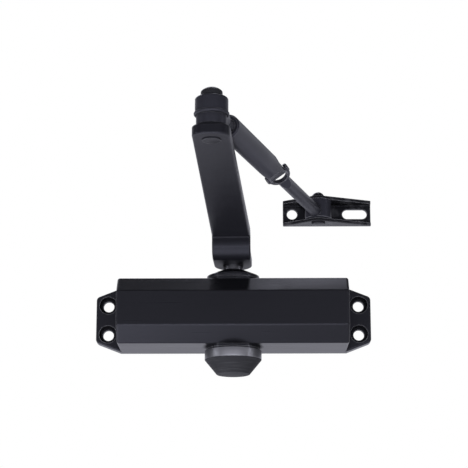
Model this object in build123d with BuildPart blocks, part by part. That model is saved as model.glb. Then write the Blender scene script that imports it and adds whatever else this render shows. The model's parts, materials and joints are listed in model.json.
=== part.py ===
"""Surface-mounted overhead door closer with a double-lever arm.

Frame: the origin is the centre of the body's back face, which is also the centre of its
hole pattern. X runs along the body, Y points into the door, Z is up. Sizes in millimetres.
The arm stands as it does with the door closed and the piston at its stop.
"""

import os
from math import acos, cos, pi, radians, sin, sqrt, tan

from build123d import *

os.makedirs("parts", exist_ok=True)

# Body casting
body_length = 146.6
body_height = 42.0
body_depth = 48.0
front_height = 22.0
bevel_depth = 10.0
edge_round = 1.5
ear_reach = 15.9
ear_tip_height = 29.5
ear_thickness = 8.0
ear_corner = 3.0
ear_edge = 1.0
hole_reach = 8.2
hole_spacing_z = 19.0
hole_diameter = 7.0
counterbore_diameter = 11.4
counterbore_depth = 5.0
bore_diameter = 29.0
boss_wall = 4.5
boss_rise = 1.6

# End plugs and their rings
plug_shoulder = 1.1
plug_length = 8.5
plug_recess = 0.6
plug_ear_gap = 0.4
plug_socket_flats = 10.0
plug_socket_depth = 4.5
ring_groove_depth = 1.8
ring_groove_width = 2.3

# Speed valves in the right end face
valve_diameter = 5.2
valve_length = 14.0
valve_tip_length = 3.0
valve_tip_radius = 1.0
valve_recess = 0.8
valve_wall = 2.0
valve_ear_gap = 1.4
valve_slot_width = 1.0
valve_slot_depth = 1.4
valve_groove_depth = 0.9
valve_groove_width = 1.3
valve_groove_place = 5.0

# Spindle and its bearings
journal_radius = 6.6
square_flats = 9.2
square_height = 5.0
thread_diameter = 6.0
thread_depth = 16.0
pinion_height = 18.0
gear_module = 1.25
pinion_teeth = 12
pressure_angle = radians(20)
pinion_addendum = 1.05
rack_addendum = 0.85
tip_clearance = 0.3
tooth_play = 0.1
flank_steps = 4
bearing_wall = 2.9
seal_height = 3.3
seal_top = 2.3
washer_height = 1.3
cap_spigot_wall = 3.0
cap_flange_lap = 4.3
cap_flange_height = 2.0
cap_cone_height = 4.0
cap_top_wall = 0.7

# Piston, check valve and spring
arm_swing = radians(170)
piston_head_left = 24.0
piston_head_right = 8.0
check_seat_radius = 4.0
check_seat_length = 5.5
check_seat_inset = 0.5
check_seat_hole = 1.7
check_ball_radius = 3.0
check_chamber_depth = 13.0
check_port_radius = 1.5
spring_wire = 3.6
spring_bore_gap = 0.6
spring_turns = 6

# Cover on the lower spindle end
cover_lip_wall = 1.25
cover_rim_height = 5.8
cover_gap = 1.0
cover_seat_gap = 0.3
cover_height = 15.1
cover_bottom_radius = 10.5
cover_wall = 1.6
cover_edge_round = 0.8

# Main arm and the screw that holds it
arm_angle = radians(2.1)
arm_length = 230.0
arm_thickness = 5.8
arm_foot_width = 24.2
arm_elbow_width = 19.6
arm_end_reach = 11.0
arm_end_round = 7.0
arm_foot_gap = 2.9
arm_rise = 13.1
arm_riser_place = 28.0
arm_foot_bend = 9.5
arm_crease_bend = 1.2
arm_edge = 1.0
screw_head_flats = 10.0
screw_head_height = 4.0
screw_length = 18.0
screw_washer_radius = 9.0
screw_washer_height = 1.6

# Elbow
elbow_pin_radius = 4.0
elbow_peen_lap = 1.0
elbow_peen_height = 0.6
elbow_washer_lap = 0.9
elbow_washer_height = 1.2
elbow_bush_wall = 1.5
eye_neck_wall = 2.43
eye_neck_height = 5.6
eye_step_width = 0.6
eye_height = 9.8
eye_lip_width = 0.6
eye_lip_height = 1.7
eye_lip_round = 1.0
eye_chamfer = 0.8
elbow_cap_wall = 1.63
elbow_cap_side = 3.2
elbow_cap_height = 5.7
elbow_cap_hole_depth = 3.6

# Forearm
forearm_angle = radians(17.053)
forearm_length = 213.22
forearm_rise = 8.4
shank_shoulder = 0.8
shank_length = 17.0
stud_radius = 4.0
stud_length = 41.0
stud_pitch = 1.25
stud_thread_depth = 0.6
sleeve_wall = 2.5
sleeve_start = 26.0
sleeve_bore_depth = 48.0
sleeve_chamfer = 0.8
clevis_place = 120.0
clevis_roll = radians(32)
tongue_thickness = 4.6
tongue_taper = 14.0
tongue_flat = 1.4
tongue_flat_reach = 10.8
tongue_flat_taper = 10.0
tongue_corner = 4.2
fork_gap = 0.25
fork_strap = 1.6
fork_width = 2.6
fork_ear_radius = 2.6
fork_crotch = 12.6
clevis_pin_radius = 1.6
clevis_head_radius = 2.2
clevis_head_height = 0.5
clevis_head_round = 0.3
rod_radius = 3.8
rod_taper = 6.4
rod_eye_radius = 8.4

# Bracket
bracket_height = 16.4
bracket_lift = 2.15
bracket_plate = 2.0
bracket_left = 22.16
bracket_right = 33.84
bracket_setback = 10.7
bracket_side_depth = 2.6
bracket_nose_radius = 5.5
bracket_fold = 1.2
bracket_edge_round = 0.4
bracket_hole_diameter = 6.6
bracket_hole_place = -16.27
bracket_slot_length = 15.7
bracket_slot_width = 6.3
bracket_slot_place = 23.63
bracket_eye_gap = 0.2
rivet_radius = 2.75
rivet_head_radius = 4.3
rivet_dome_height = 3.4
rivet_peen_height = 1.2

# Clearances
press_gap = 0.02
running_gap = 0.05
screw_gap = 0.05
face_gap = 0.05
pin_gap = 0.08
shaft_hole_gap = 0.3

# Places that follow from the sizes above
ear_span = body_length + 2 * ear_reach
hole_spacing_x = body_length + 2 * hole_reach
plug_diameter = bore_diameter + 2 * plug_shoulder
spindle_y = -(ear_thickness + plug_ear_gap + plug_diameter / 2)
boss_top = body_height / 2 + boss_rise
cap_top = boss_top + cap_flange_height + cap_cone_height
seal_seat_top = boss_top + seal_top
foot_bottom = cap_top + arm_foot_gap
arm_bottom = foot_bottom + arm_rise
arm_top = arm_bottom + arm_thickness
bearing_radius = journal_radius + bearing_wall
cap_spigot_radius = bearing_radius + cap_spigot_wall
cap_flange_radius = cap_spigot_radius + cap_flange_lap
cap_cone_top_radius = journal_radius + shaft_hole_gap + cap_top_wall
boss_radius = cap_spigot_radius + boss_wall
pitch_radius = gear_module * pinion_teeth / 2
outer_radius = pitch_radius + pinion_addendum
piston_travel = pitch_radius * arm_swing
piston_radius = bore_diameter / 2 - running_gap
slot_reach = max(bearing_radius, outer_radius) + shaft_hole_gap + running_gap
slot_left = slot_reach + piston_travel
piston_left = slot_left + piston_head_left
piston_right = slot_reach + piston_head_right
plug_inner = body_length / 2 - plug_recess - plug_length
valve_y = -(ear_thickness + valve_ear_gap + valve_diameter / 2)
valve_z = body_height / 2 - valve_wall - valve_diameter / 2
bush_radius = elbow_pin_radius + running_gap + elbow_bush_wall
eye_neck_radius = bush_radius + press_gap + eye_neck_wall
eye_radius = eye_neck_radius + eye_step_width
eye_lip_radius = eye_radius + eye_lip_width
eye_bottom = arm_top + elbow_washer_height + face_gap
forearm_height = eye_bottom + forearm_rise
sleeve_radius = stud_radius + running_gap + sleeve_wall
bracket_middle = forearm_height + bracket_lift

spindle_axis = Axis((0, spindle_y, 0), (0, 0, 1))
arm_direction = Vector(-sin(arm_angle), -cos(arm_angle), 0)
elbow = Vector(0, spindle_y, 0) + arm_direction * arm_length
elbow_axis = Axis(elbow, (0, 0, 1))
forearm_direction = Vector(sin(forearm_angle), cos(forearm_angle), 0)
forearm_side = Vector(cos(forearm_angle), -sin(forearm_angle), 0)
forearm_origin = elbow + Vector(0, 0, forearm_height)
clevis_direction = forearm_side * cos(clevis_roll) + Vector(0, 0, sin(clevis_roll))
fork_normal = forearm_direction.cross(clevis_direction)
pivot = elbow + forearm_direction * forearm_length
pivot_axis = Axis(pivot, (0, 0, 1))


def upright_section(origin, side=1):
    """Plane through an upright axis: local x is the radius, local y the height on one side."""
    return Plane(origin=origin, x_dir=(1, 0, 0), z_dir=(0, -side, 0))


def bore_section(side, y=spindle_y, z=0.0):
    """Plane through an axis along X: local x is the radius, local y the distance on one side."""
    return Plane(origin=(0, y, z), x_dir=(0, 0, 1), z_dir=(0, side, 0))


def outline(plane, points):
    """Closed face through the given points of a plane."""
    with BuildSketch(plane) as face:
        with BuildLine():
            Polyline(*points, close=True)
        make_face()
    return face.sketch


def tube(inner, outer, bottom, top):
    """Outline of a ring with square edges, as radius and height points."""
    return [(inner, bottom), (outer, bottom), (outer, top), (inner, top)]


def finish(piece, name):
    """Label a finished piece and write it."""
    piece.part.label = name
    export_step(piece.part, f"parts/{name}.step")


# Ear plate: runs behind the whole body, with a rounded front edge
with BuildPart() as ear_plate:
    with BuildSketch(Plane.XZ) as ears:
        with BuildLine():
            Polyline(
                (-ear_span / 2, ear_tip_height / 2),
                (-body_length / 2, body_height / 2),
                (body_length / 2, body_height / 2),
                (ear_span / 2, ear_tip_height / 2),
                (ear_span / 2, -ear_tip_height / 2),
                (body_length / 2, -body_height / 2),
                (-body_length / 2, -body_height / 2),
                (-ear_span / 2, -ear_tip_height / 2),
                close=True,
            )
        make_face()
        fillet(ears.vertices().filter_by(lambda vertex: abs(vertex.X) > body_length / 2 + 1), ear_corner)
    extrude(amount=ear_thickness)
    fillet(ear_plate.faces().sort_by(Axis.Y)[0].edges(), ear_edge)

# Body casting: bevelled prism, ears and spindle bosses, then the bores
with BuildPart() as body_casting:
    with BuildSketch(Plane.YZ.offset(-body_length / 2)):
        with BuildLine():
            Polyline(
                (0, body_height / 2),
                (bevel_depth - body_depth, body_height / 2),
                (-body_depth, front_height / 2),
                (-body_depth, -front_height / 2),
                (bevel_depth - body_depth, -body_height / 2),
                (0, -body_height / 2),
                close=True,
            )
        make_face()
    extrude(amount=body_length)
    front_edges = body_casting.edges().filter_by(lambda edge: edge.center().Y < -edge_round)
    fillet(front_edges, edge_round)
    add(ear_plate.part)
    with BuildSketch(Plane(origin=(0, spindle_y, -boss_top))):
        Circle(boss_radius)
        with Locations((0, bevel_depth - body_depth - spindle_y - boss_radius)):
            Rectangle(2 * boss_radius, 2 * boss_radius, mode=Mode.SUBTRACT)
    extrude(amount=2 * boss_top)
    with BuildSketch(Plane(origin=(0, spindle_y, -boss_top))):
        Circle(cap_spigot_radius + screw_gap)
    extrude(amount=2 * boss_top, mode=Mode.SUBTRACT)
    with BuildSketch(Plane.YZ.offset(-body_length / 2)):
        with Locations((spindle_y, 0)):
            Circle(bore_diameter / 2)
    extrude(amount=body_length, mode=Mode.SUBTRACT)
    for side in (-1, 1):
        with BuildSketch(Plane.YZ.offset(side * plug_inner)):
            with Locations((spindle_y, 0)):
                Circle(plug_diameter / 2 + screw_gap)
        extrude(amount=side * (plug_length + plug_recess), mode=Mode.SUBTRACT)
    with BuildSketch(Plane.YZ.offset(body_length / 2)):
        with Locations((valve_y, valve_z), (valve_y, -valve_z)):
            Circle(valve_diameter / 2 + screw_gap)
    extrude(amount=-(valve_recess + valve_length + valve_tip_length), mode=Mode.SUBTRACT)
    with BuildSketch(Plane.XZ):
        with GridLocations(hole_spacing_x, hole_spacing_z, 2, 2):
            Circle(hole_diameter / 2)
    extrude(amount=ear_thickness, mode=Mode.SUBTRACT)
    with BuildSketch(Plane.XZ.offset(ear_thickness - counterbore_depth)):
        with GridLocations(hole_spacing_x, hole_spacing_z, 2, 2):
            Circle(counterbore_diameter / 2)
    extrude(amount=counterbore_depth, mode=Mode.SUBTRACT)
finish(body_casting, "body_casting")

# End plugs: turned, with a ring groove and a hexagon socket
groove_floor = plug_diameter / 2 - ring_groove_depth
groove_start = plug_inner + (plug_length - ring_groove_width) / 2
for side, name in ((-1, "end_plug_left"), (1, "end_plug_right")):
    with BuildPart() as end_plug:
        plug_outline = [
            (0, plug_inner),
            (plug_diameter / 2, plug_inner),
            (plug_diameter / 2, groove_start),
            (groove_floor, groove_start),
            (groove_floor, groove_start + ring_groove_width),
            (plug_diameter / 2, groove_start + ring_groove_width),
            (plug_diameter / 2, plug_inner + plug_length),
            (0, plug_inner + plug_length),
        ]
        revolve(outline(bore_section(side), plug_outline), axis=Axis((0, spindle_y, 0), (1, 0, 0)))
        plug_face = side * (plug_inner + plug_length)
        with BuildSketch(Plane(origin=(plug_face, spindle_y, 0), z_dir=(side, 0, 0))):
            RegularPolygon(plug_socket_flats / 2, 6, major_radius=False)
        extrude(amount=-plug_socket_depth, mode=Mode.SUBTRACT)
    finish(end_plug, name)

# Rings in the plug grooves
with BuildPart() as end_plug_o_rings:
    for side in (-1, 1):
        with BuildSketch(bore_section(side)):
            with Locations((groove_floor + ring_groove_depth / 2, groove_start + ring_groove_width / 2)):
                Circle(ring_groove_depth / 2 - press_gap)
        revolve(axis=Axis((0, spindle_y, 0), (1, 0, 0)))
finish(end_plug_o_rings, "end_plug_o_rings")

# Speed valves: slotted screws with a needle tip and a ring groove
valve_face = body_length / 2 - valve_recess
valve_groove = valve_face - valve_groove_place
valve_radius = valve_diameter / 2
for height, name in ((valve_z, "closing_speed_valve"), (-valve_z, "latching_speed_valve")):
    with BuildPart() as valve:
        valve_outline = [
            (0, valve_face),
            (valve_radius, valve_face),
            (valve_radius, valve_groove),
            (valve_radius - valve_groove_depth, valve_groove),
            (valve_radius - valve_groove_depth, valve_groove - valve_groove_width),
            (valve_radius, valve_groove - valve_groove_width),
            (valve_radius, valve_face - valve_length),
            (valve_tip_radius, valve_face - valve_length - valve_tip_length),
            (0, valve_face - valve_length - valve_tip_length),
        ]
        valve_axis = Axis((0, valve_y, height), (1, 0, 0))
        revolve(outline(bore_section(1, valve_y, height), valve_outline), axis=valve_axis)
        with BuildSketch(Plane(origin=(valve_face, valve_y, height), z_dir=(1, 0, 0))):
            Rectangle(valve_slot_width, 2 * valve_diameter)
        extrude(amount=-valve_slot_depth, mode=Mode.SUBTRACT)
    finish(valve, name)

# Rings in the valve grooves
with BuildPart() as valve_o_rings:
    for height in (-valve_z, valve_z):
        with BuildSketch(bore_section(1, valve_y, height)):
            with Locations((valve_radius - valve_groove_depth / 2, valve_groove - valve_groove_width / 2)):
                Circle(valve_groove_depth / 2 - press_gap)
        revolve(axis=Axis((0, valve_y, height), (1, 0, 0)))
finish(valve_o_rings, "valve_o_rings")

# Spindle: pinion, journals and a square with a tapped hole at each end
base_radius = pitch_radius * cos(pressure_angle)
root_radius = pitch_radius - rack_addendum - tip_clearance
tooth_angle = (pi * gear_module / 4 - tooth_play) / pitch_radius + tan(pressure_angle) - pressure_angle


def flank_angle(radius):
    """Half the angle that a pinion tooth spans at a radius, on its involute flank."""
    roll = acos(base_radius / max(radius, base_radius))
    return tooth_angle - tan(roll) + roll


flank_radii = [root_radius] + [
    base_radius + (outer_radius - base_radius) * step / flank_steps for step in range(flank_steps + 1)
]
pinion_points = []
for tooth in range(pinion_teeth):
    middle = -pi / 2 + (tooth + 0.5) * 2 * pi / pinion_teeth
    rising = [(radius, middle - flank_angle(radius)) for radius in flank_radii]
    falling = [(radius, middle + flank_angle(radius)) for radius in reversed(flank_radii)]
    pinion_points += [(radius * cos(angle), radius * sin(angle)) for radius, angle in rising + falling]

with BuildPart() as spindle:
    pinion_plane = Plane(origin=(0, spindle_y, -pinion_height / 2))
    extrude(outline(pinion_plane, pinion_points), amount=pinion_height)
    for side in (-1, 1):
        with BuildSketch(Plane(origin=(0, spindle_y, side * pinion_height / 2), z_dir=(0, 0, side))):
            Circle(journal_radius)
        extrude(amount=foot_bottom - face_gap - pinion_height / 2)
        square_plane = Plane((0, spindle_y, side * (foot_bottom - face_gap)), arm_direction, (0, 0, side))
        with BuildSketch(square_plane):
            Rectangle(square_flats, square_flats)
        extrude(amount=square_height)
        with BuildSketch(square_plane.offset(square_height)):
            Circle(thread_diameter / 2)
        extrude(amount=-thread_depth, mode=Mode.SUBTRACT)
finish(spindle, "spindle")

# Bearing caps, bushes, shaft seals and thrust washers above and below the pinion
spigot_end = bore_diameter / 2 + plug_shoulder
washer_top = pinion_height / 2 + face_gap + washer_height
seal_bottom = seal_seat_top - seal_height
shaft_radius = journal_radius + running_gap
for side, name in ((1, "upper"), (-1, "lower")):
    half = upright_section((0, spindle_y, 0), side)
    with BuildPart() as bearing_cap:
        cap_outline = [
            (bearing_radius + press_gap, spigot_end),
            (cap_spigot_radius, spigot_end),
            (cap_spigot_radius, boss_top),
            (cap_flange_radius, boss_top),
            (cap_flange_radius, boss_top + cap_flange_height),
            (cap_cone_top_radius, cap_top),
            (journal_radius + shaft_hole_gap, cap_top),
            (journal_radius + shaft_hole_gap, seal_seat_top + face_gap),
            (bearing_radius + press_gap, seal_seat_top + face_gap),
        ]
        revolve(outline(half, cap_outline), axis=spindle_axis)
    finish(bearing_cap, f"{name}_bearing_cap")
    with BuildPart() as bearing:
        bush = tube(shaft_radius, bearing_radius, washer_top + face_gap, seal_bottom - face_gap)
        revolve(outline(half, bush), axis=spindle_axis)
    finish(bearing, f"{name}_bearing")
    with BuildPart() as shaft_seal:
        seal_ring = tube(shaft_radius, bearing_radius, seal_bottom, seal_seat_top)
        revolve(outline(half, seal_ring), axis=spindle_axis)
    finish(shaft_seal, f"{name}_shaft_seal")

with BuildPart() as thrust_washers:
    for side in (-1, 1):
        ring = tube(shaft_radius, bearing_radius, pinion_height / 2 + face_gap, washer_top)
        revolve(outline(upright_section((0, spindle_y, 0), side), ring), axis=spindle_axis)
finish(thrust_washers, "thrust_washers")

# Piston: a plunger with a slot for the pinion and a rack on the slot's front wall
tooth_pitch = pi * gear_module
rack_pitch_y = spindle_y - pitch_radius
rack_tip_y = rack_pitch_y + rack_addendum
rack_root_y = rack_pitch_y - pinion_addendum - tip_clearance
rack_back_y = spindle_y - slot_reach - 2 * running_gap
tooth_half = tooth_pitch / 4 - tooth_play
tip_half = tooth_half - rack_addendum * tan(pressure_angle)
root_half = tooth_half + (pinion_addendum + tip_clearance) * tan(pressure_angle)
first_tooth = -int((slot_left - root_half) / tooth_pitch)
last_tooth = int((slot_reach - root_half) / tooth_pitch)
rack_points = [(slot_reach, rack_back_y), (-slot_left, rack_back_y), (-slot_left, rack_root_y)]
for tooth in range(first_tooth, last_tooth + 1):
    x = tooth * tooth_pitch
    rack_points += [(x - root_half, rack_root_y), (x - tip_half, rack_tip_y)]
    rack_points += [(x + tip_half, rack_tip_y), (x + root_half, rack_root_y)]
rack_points.append((slot_reach, rack_root_y))

with BuildPart() as piston:
    with BuildSketch(Plane.YZ.offset(-piston_left)):
        with Locations((spindle_y, 0)):
            Circle(piston_radius)
    extrude(amount=piston_left + piston_right)
    with BuildSketch(Plane(origin=(0, spindle_y, -piston_radius))):
        with Locations(((slot_reach - slot_left) / 2, 0)):
            Rectangle(slot_reach + slot_left, 2 * slot_reach)
    extrude(amount=2 * piston_radius, mode=Mode.SUBTRACT)
    rack_height = pinion_height - 2 * face_gap
    extrude(outline(Plane.XY.offset(-rack_height / 2), rack_points), amount=rack_height)
    head_plane = Plane(origin=(-piston_left, spindle_y, 0), z_dir=(1, 0, 0))
    with BuildSketch(head_plane):
        Circle(check_seat_radius + press_gap)
    extrude(amount=check_chamber_depth, mode=Mode.SUBTRACT)
    with BuildSketch(head_plane):
        Circle(check_port_radius)
    extrude(amount=piston_head_left, mode=Mode.SUBTRACT)
finish(piston, "piston")

# Check valve in the piston's left head: a pressed seat and a loose ball
seat_outer = piston_left - check_seat_inset
seat_inner = seat_outer - check_seat_length
ball_place = seat_inner - sqrt(check_ball_radius**2 - check_seat_hole**2) - face_gap
with BuildPart() as check_valve_seat:
    seat_ring = tube(check_seat_hole, check_seat_radius, seat_inner, seat_outer)
    revolve(outline(bore_section(-1), seat_ring), axis=Axis((0, spindle_y, 0), (1, 0, 0)))
finish(check_valve_seat, "check_valve_seat")

with BuildPart(Plane(origin=(-ball_place, spindle_y, 0))) as check_valve_ball:
    Sphere(check_ball_radius)
finish(check_valve_ball, "check_valve_ball")

# Closing spring between the piston and the right plug, on arcs of an eighth of a turn
coil_radius = bore_diameter / 2 - spring_bore_gap - spring_wire / 2
coil_start = piston_right + spring_wire / 2 + face_gap
coil_end = plug_inner - spring_wire / 2 - face_gap
coil_rate = (coil_end - coil_start) / (2 * pi * spring_turns)


def coil_point(quarter):
    """Point of the spring's centre line after a number of quarter turns."""
    turn = quarter * pi / 2
    along = coil_start + coil_rate * turn
    return Vector(along, spindle_y + coil_radius * cos(turn), coil_radius * sin(turn))


def coil_tangent(quarter):
    """Direction of the spring's centre line at that point."""
    turn = quarter * pi / 2
    return Vector(coil_rate, -coil_radius * sin(turn), coil_radius * cos(turn)).normalized()


with BuildPart() as closing_spring:
    with BuildLine() as coil_path:
        for quarter in range(4 * spring_turns):
            start, end = coil_point(quarter), coil_point(quarter + 1)
            leave, arrive = coil_tangent(quarter), coil_tangent(quarter + 1)
            chord = end - start
            spread = 2 * (1 - leave.dot(arrive))
            lean = chord.dot(leave + arrive)
            reach = (sqrt(lean**2 + spread * chord.dot(chord)) - lean) / spread
            near, far = start + leave * reach, end - arrive * reach
            TangentArc(start, (near + far) * 0.5, tangent=leave)
            TangentArc((near + far) * 0.5, end, tangent=(far - near).normalized())
    with BuildSketch(Plane(origin=coil_point(0), z_dir=coil_tangent(0))):
        Circle(spring_wire / 2)
    sweep()
finish(closing_spring, "closing_spring")

# Conical cover that is pushed on the lower bearing cap
cover_top = -(boss_top + cover_gap)
cover_seat = -(boss_top + cap_flange_height + cover_seat_gap)
cover_crease = cover_top - cover_rim_height
cover_bottom = cover_top - cover_height
cover_lip = cap_flange_radius + running_gap
cover_rim_radius = cover_lip + cover_lip_wall
with BuildPart() as pinion_cap:
    cover_outline = [
        (cover_lip, cover_top),
        (cover_rim_radius, cover_top),
        (cover_rim_radius, cover_crease),
        (cover_bottom_radius, cover_bottom),
        (0, cover_bottom),
        (0, cover_bottom + cover_wall),
        (cover_bottom_radius - cover_wall, cover_bottom + cover_wall),
        (cover_rim_radius - cover_wall, cover_crease),
        (cover_rim_radius - cover_wall, cover_seat),
        (cover_lip, cover_seat),
    ]
    revolve(outline(upright_section((0, spindle_y, 0)), cover_outline), axis=spindle_axis)
    low_edges = pinion_cap.edges().filter_by(lambda edge: edge.center().Z < cover_bottom + face_gap)
    crease_edge = pinion_cap.edges().filter_by(lambda edge: abs(edge.center().Z - cover_crease) < face_gap)
    fillet(low_edges.filter_by(GeomType.CIRCLE), cover_edge_round)
    fillet(crease_edge.filter_by(GeomType.CIRCLE).sort_by(SortBy.RADIUS)[-1], cover_edge_round)
finish(pinion_cap, "pinion_cap")

# Main arm: the bent bar's side view, cut to its tapered plan
arm_side = Plane((0, spindle_y, 0), arm_direction, arm_direction.cross(Vector(0, 0, 1)))
arm_plan = Plane((0, spindle_y, foot_bottom), arm_direction, (0, 0, 1))
arm_tip = arm_length + arm_end_reach
arm_riser_back = arm_riser_place - arm_thickness
foot_top = foot_bottom + arm_thickness
arm_bends = [
    ((arm_riser_place, foot_bottom), arm_foot_bend),
    ((arm_riser_back, foot_top), arm_foot_bend - arm_thickness),
    ((arm_riser_place, arm_bottom), arm_crease_bend),
    ((arm_riser_back, arm_top), arm_crease_bend + arm_thickness),
]


def is_outer_edge(edge):
    """True for the bar's long outer edges: those that don't cross it from side to side."""
    across = Vector(0, 0, 1).cross(arm_direction)
    upright = abs(edge.tangent_at(0.5).Z) > 0.99 and edge.length < arm_rise
    return abs(edge.tangent_at(0.5).dot(across)) < 0.99 and not upright


with BuildPart() as main_arm:
    with BuildSketch(arm_side) as arm_view:
        with BuildLine():
            Polyline(
                (-arm_foot_width / 2, foot_bottom),
                (arm_riser_place, foot_bottom),
                (arm_riser_place, arm_bottom),
                (arm_tip, arm_bottom),
                (arm_tip, arm_top),
                (arm_riser_back, arm_top),
                (arm_riser_back, foot_top),
                (-arm_foot_width / 2, foot_top),
                close=True,
            )
        make_face()
        for corner, radius in arm_bends:
            fillet(arm_view.vertices().sort_by_distance((*corner, 0))[0], radius)
    extrude(amount=arm_foot_width, both=True)
    with BuildSketch(arm_plan) as arm_blank:
        with BuildLine():
            Polyline(
                (0, -arm_foot_width / 2),
                (arm_riser_place, -arm_foot_width / 2),
                (arm_length, -arm_elbow_width / 2),
                (arm_tip, -arm_elbow_width / 2),
                (arm_tip, arm_elbow_width / 2),
                (arm_length, arm_elbow_width / 2),
                (arm_riser_place, arm_foot_width / 2),
                (0, arm_foot_width / 2),
            )
            ThreePointArc((0, arm_foot_width / 2), (-arm_foot_width / 2, 0), (0, -arm_foot_width / 2))
        make_face()
        fillet(arm_blank.vertices().sort_by(Axis.X)[-2:], arm_end_round)
    extrude(amount=arm_top - foot_bottom, mode=Mode.INTERSECT)
    fillet(main_arm.edges().filter_by(is_outer_edge), arm_edge)
    with BuildSketch(arm_plan):
        Rectangle(square_flats + 2 * screw_gap, square_flats + 2 * screw_gap)
    extrude(amount=arm_thickness, mode=Mode.SUBTRACT)
    with BuildSketch(arm_plan.offset(arm_rise)):
        with Locations((arm_length, 0)):
            Circle(elbow_pin_radius + press_gap)
    extrude(amount=arm_thickness, mode=Mode.SUBTRACT)
finish(main_arm, "main_arm")

# Screw and washer that hold the arm on the spindle's square
screw_seat = foot_top + screw_washer_height
with BuildPart() as arm_washer:
    ring = tube(thread_diameter / 2 + screw_gap, screw_washer_radius, foot_top, screw_seat)
    revolve(outline(upright_section((0, spindle_y, 0)), ring), axis=spindle_axis)
finish(arm_washer, "arm_washer")

with BuildPart() as arm_screw:
    with BuildSketch(Plane(origin=(0, spindle_y, screw_seat))):
        RegularPolygon(screw_head_flats / 2, 6, major_radius=False)
    extrude(amount=screw_head_height)
    with BuildSketch(Plane(origin=(0, spindle_y, screw_seat))):
        Circle(thread_diameter / 2 - press_gap)
    extrude(amount=-screw_length)
finish(arm_screw, "arm_screw")

# Elbow: pin riveted in the arm, washer, bush, stepped eye with its stud, domed cap
elbow_section = upright_section(elbow)
eye_step = eye_bottom + eye_neck_height
eye_top = eye_step + eye_height
cap_bottom = eye_top + face_gap
elbow_peen_radius = elbow_pin_radius + elbow_peen_lap
elbow_cap_radius = elbow_pin_radius + press_gap + elbow_cap_wall
with BuildPart() as elbow_washer:
    washer_radius = eye_neck_radius + elbow_washer_lap
    ring = tube(elbow_pin_radius + screw_gap, washer_radius, arm_top, arm_top + elbow_washer_height)
    revolve(outline(elbow_section, ring), axis=elbow_axis)
finish(elbow_washer, "elbow_washer")

with BuildPart() as elbow_pin:
    pin_outline = [
        (0, arm_bottom - elbow_peen_height),
        (elbow_peen_radius, arm_bottom - elbow_peen_height),
        (elbow_peen_radius, arm_bottom),
        (elbow_pin_radius, arm_bottom),
        (elbow_pin_radius, cap_bottom + elbow_cap_hole_depth - face_gap),
        (0, cap_bottom + elbow_cap_hole_depth - face_gap),
    ]
    revolve(outline(elbow_section, pin_outline), axis=elbow_axis)
finish(elbow_pin, "elbow_pin")

with BuildPart() as elbow_bush:
    ring = tube(elbow_pin_radius + running_gap, bush_radius, eye_bottom, eye_top)
    revolve(outline(elbow_section, ring), axis=elbow_axis)
finish(elbow_bush, "elbow_bush")

with BuildPart() as elbow_cap:
    with BuildSketch(elbow_section):
        with BuildLine():
            Polyline(
                (0, cap_bottom + elbow_cap_height),
                (0, cap_bottom + elbow_cap_hole_depth),
                (elbow_pin_radius + press_gap, cap_bottom + elbow_cap_hole_depth),
                (elbow_pin_radius + press_gap, cap_bottom),
                (elbow_cap_radius, cap_bottom),
                (elbow_cap_radius, cap_bottom + elbow_cap_side),
            )
            TangentArc(
                (0, cap_bottom + elbow_cap_height),
                (elbow_cap_radius, cap_bottom + elbow_cap_side),
                tangent=(1, 0),
            )
        make_face()
    revolve(axis=elbow_axis)
finish(elbow_cap, "elbow_cap")

forearm_section = Plane(forearm_origin, (0, 0, 1), -forearm_side)
forearm_axis = Axis(forearm_origin, forearm_direction)
stud_end = shank_length + stud_length
thread_count = int(stud_length / stud_pitch)
shank_radius = stud_radius + shank_shoulder
stud_points = [(0, 0), (shank_radius, 0), (shank_radius, shank_length)]
for turn in range(thread_count):
    root = shank_length + (turn + 0.5) * stud_pitch
    stud_points += [(stud_radius, root - stud_pitch / 2), (stud_radius - stud_thread_depth, root)]
thread_end = shank_length + thread_count * stud_pitch
stud_points += [(stud_radius, thread_end), (stud_radius, stud_end), (0, stud_end)]
with BuildPart() as elbow_eye:
    eye_outline = [
        (0, eye_bottom),
        (eye_neck_radius, eye_bottom),
        (eye_neck_radius, eye_step),
        (eye_lip_radius, eye_step),
        (eye_lip_radius, eye_step + eye_lip_height),
        (eye_radius, eye_step + eye_lip_height),
        (eye_radius, eye_top - eye_chamfer),
        (eye_radius - eye_chamfer, eye_top),
        (0, eye_top),
    ]
    revolve(outline(elbow_section, eye_outline), axis=elbow_axis)
    eye_circles = elbow_eye.edges().filter_by(GeomType.CIRCLE)
    lip_circles = eye_circles.filter_by(lambda edge: edge.radius > eye_radius + face_gap)
    fillet(lip_circles.sort_by(Axis.Z)[0], eye_lip_round)
    revolve(outline(forearm_section, stud_points), axis=forearm_axis)
    with BuildSketch(Plane(elbow + Vector(0, 0, eye_bottom))):
        Circle(bush_radius + press_gap)
    extrude(amount=eye_top - eye_bottom, mode=Mode.SUBTRACT)
finish(elbow_eye, "elbow_eye")

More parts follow.
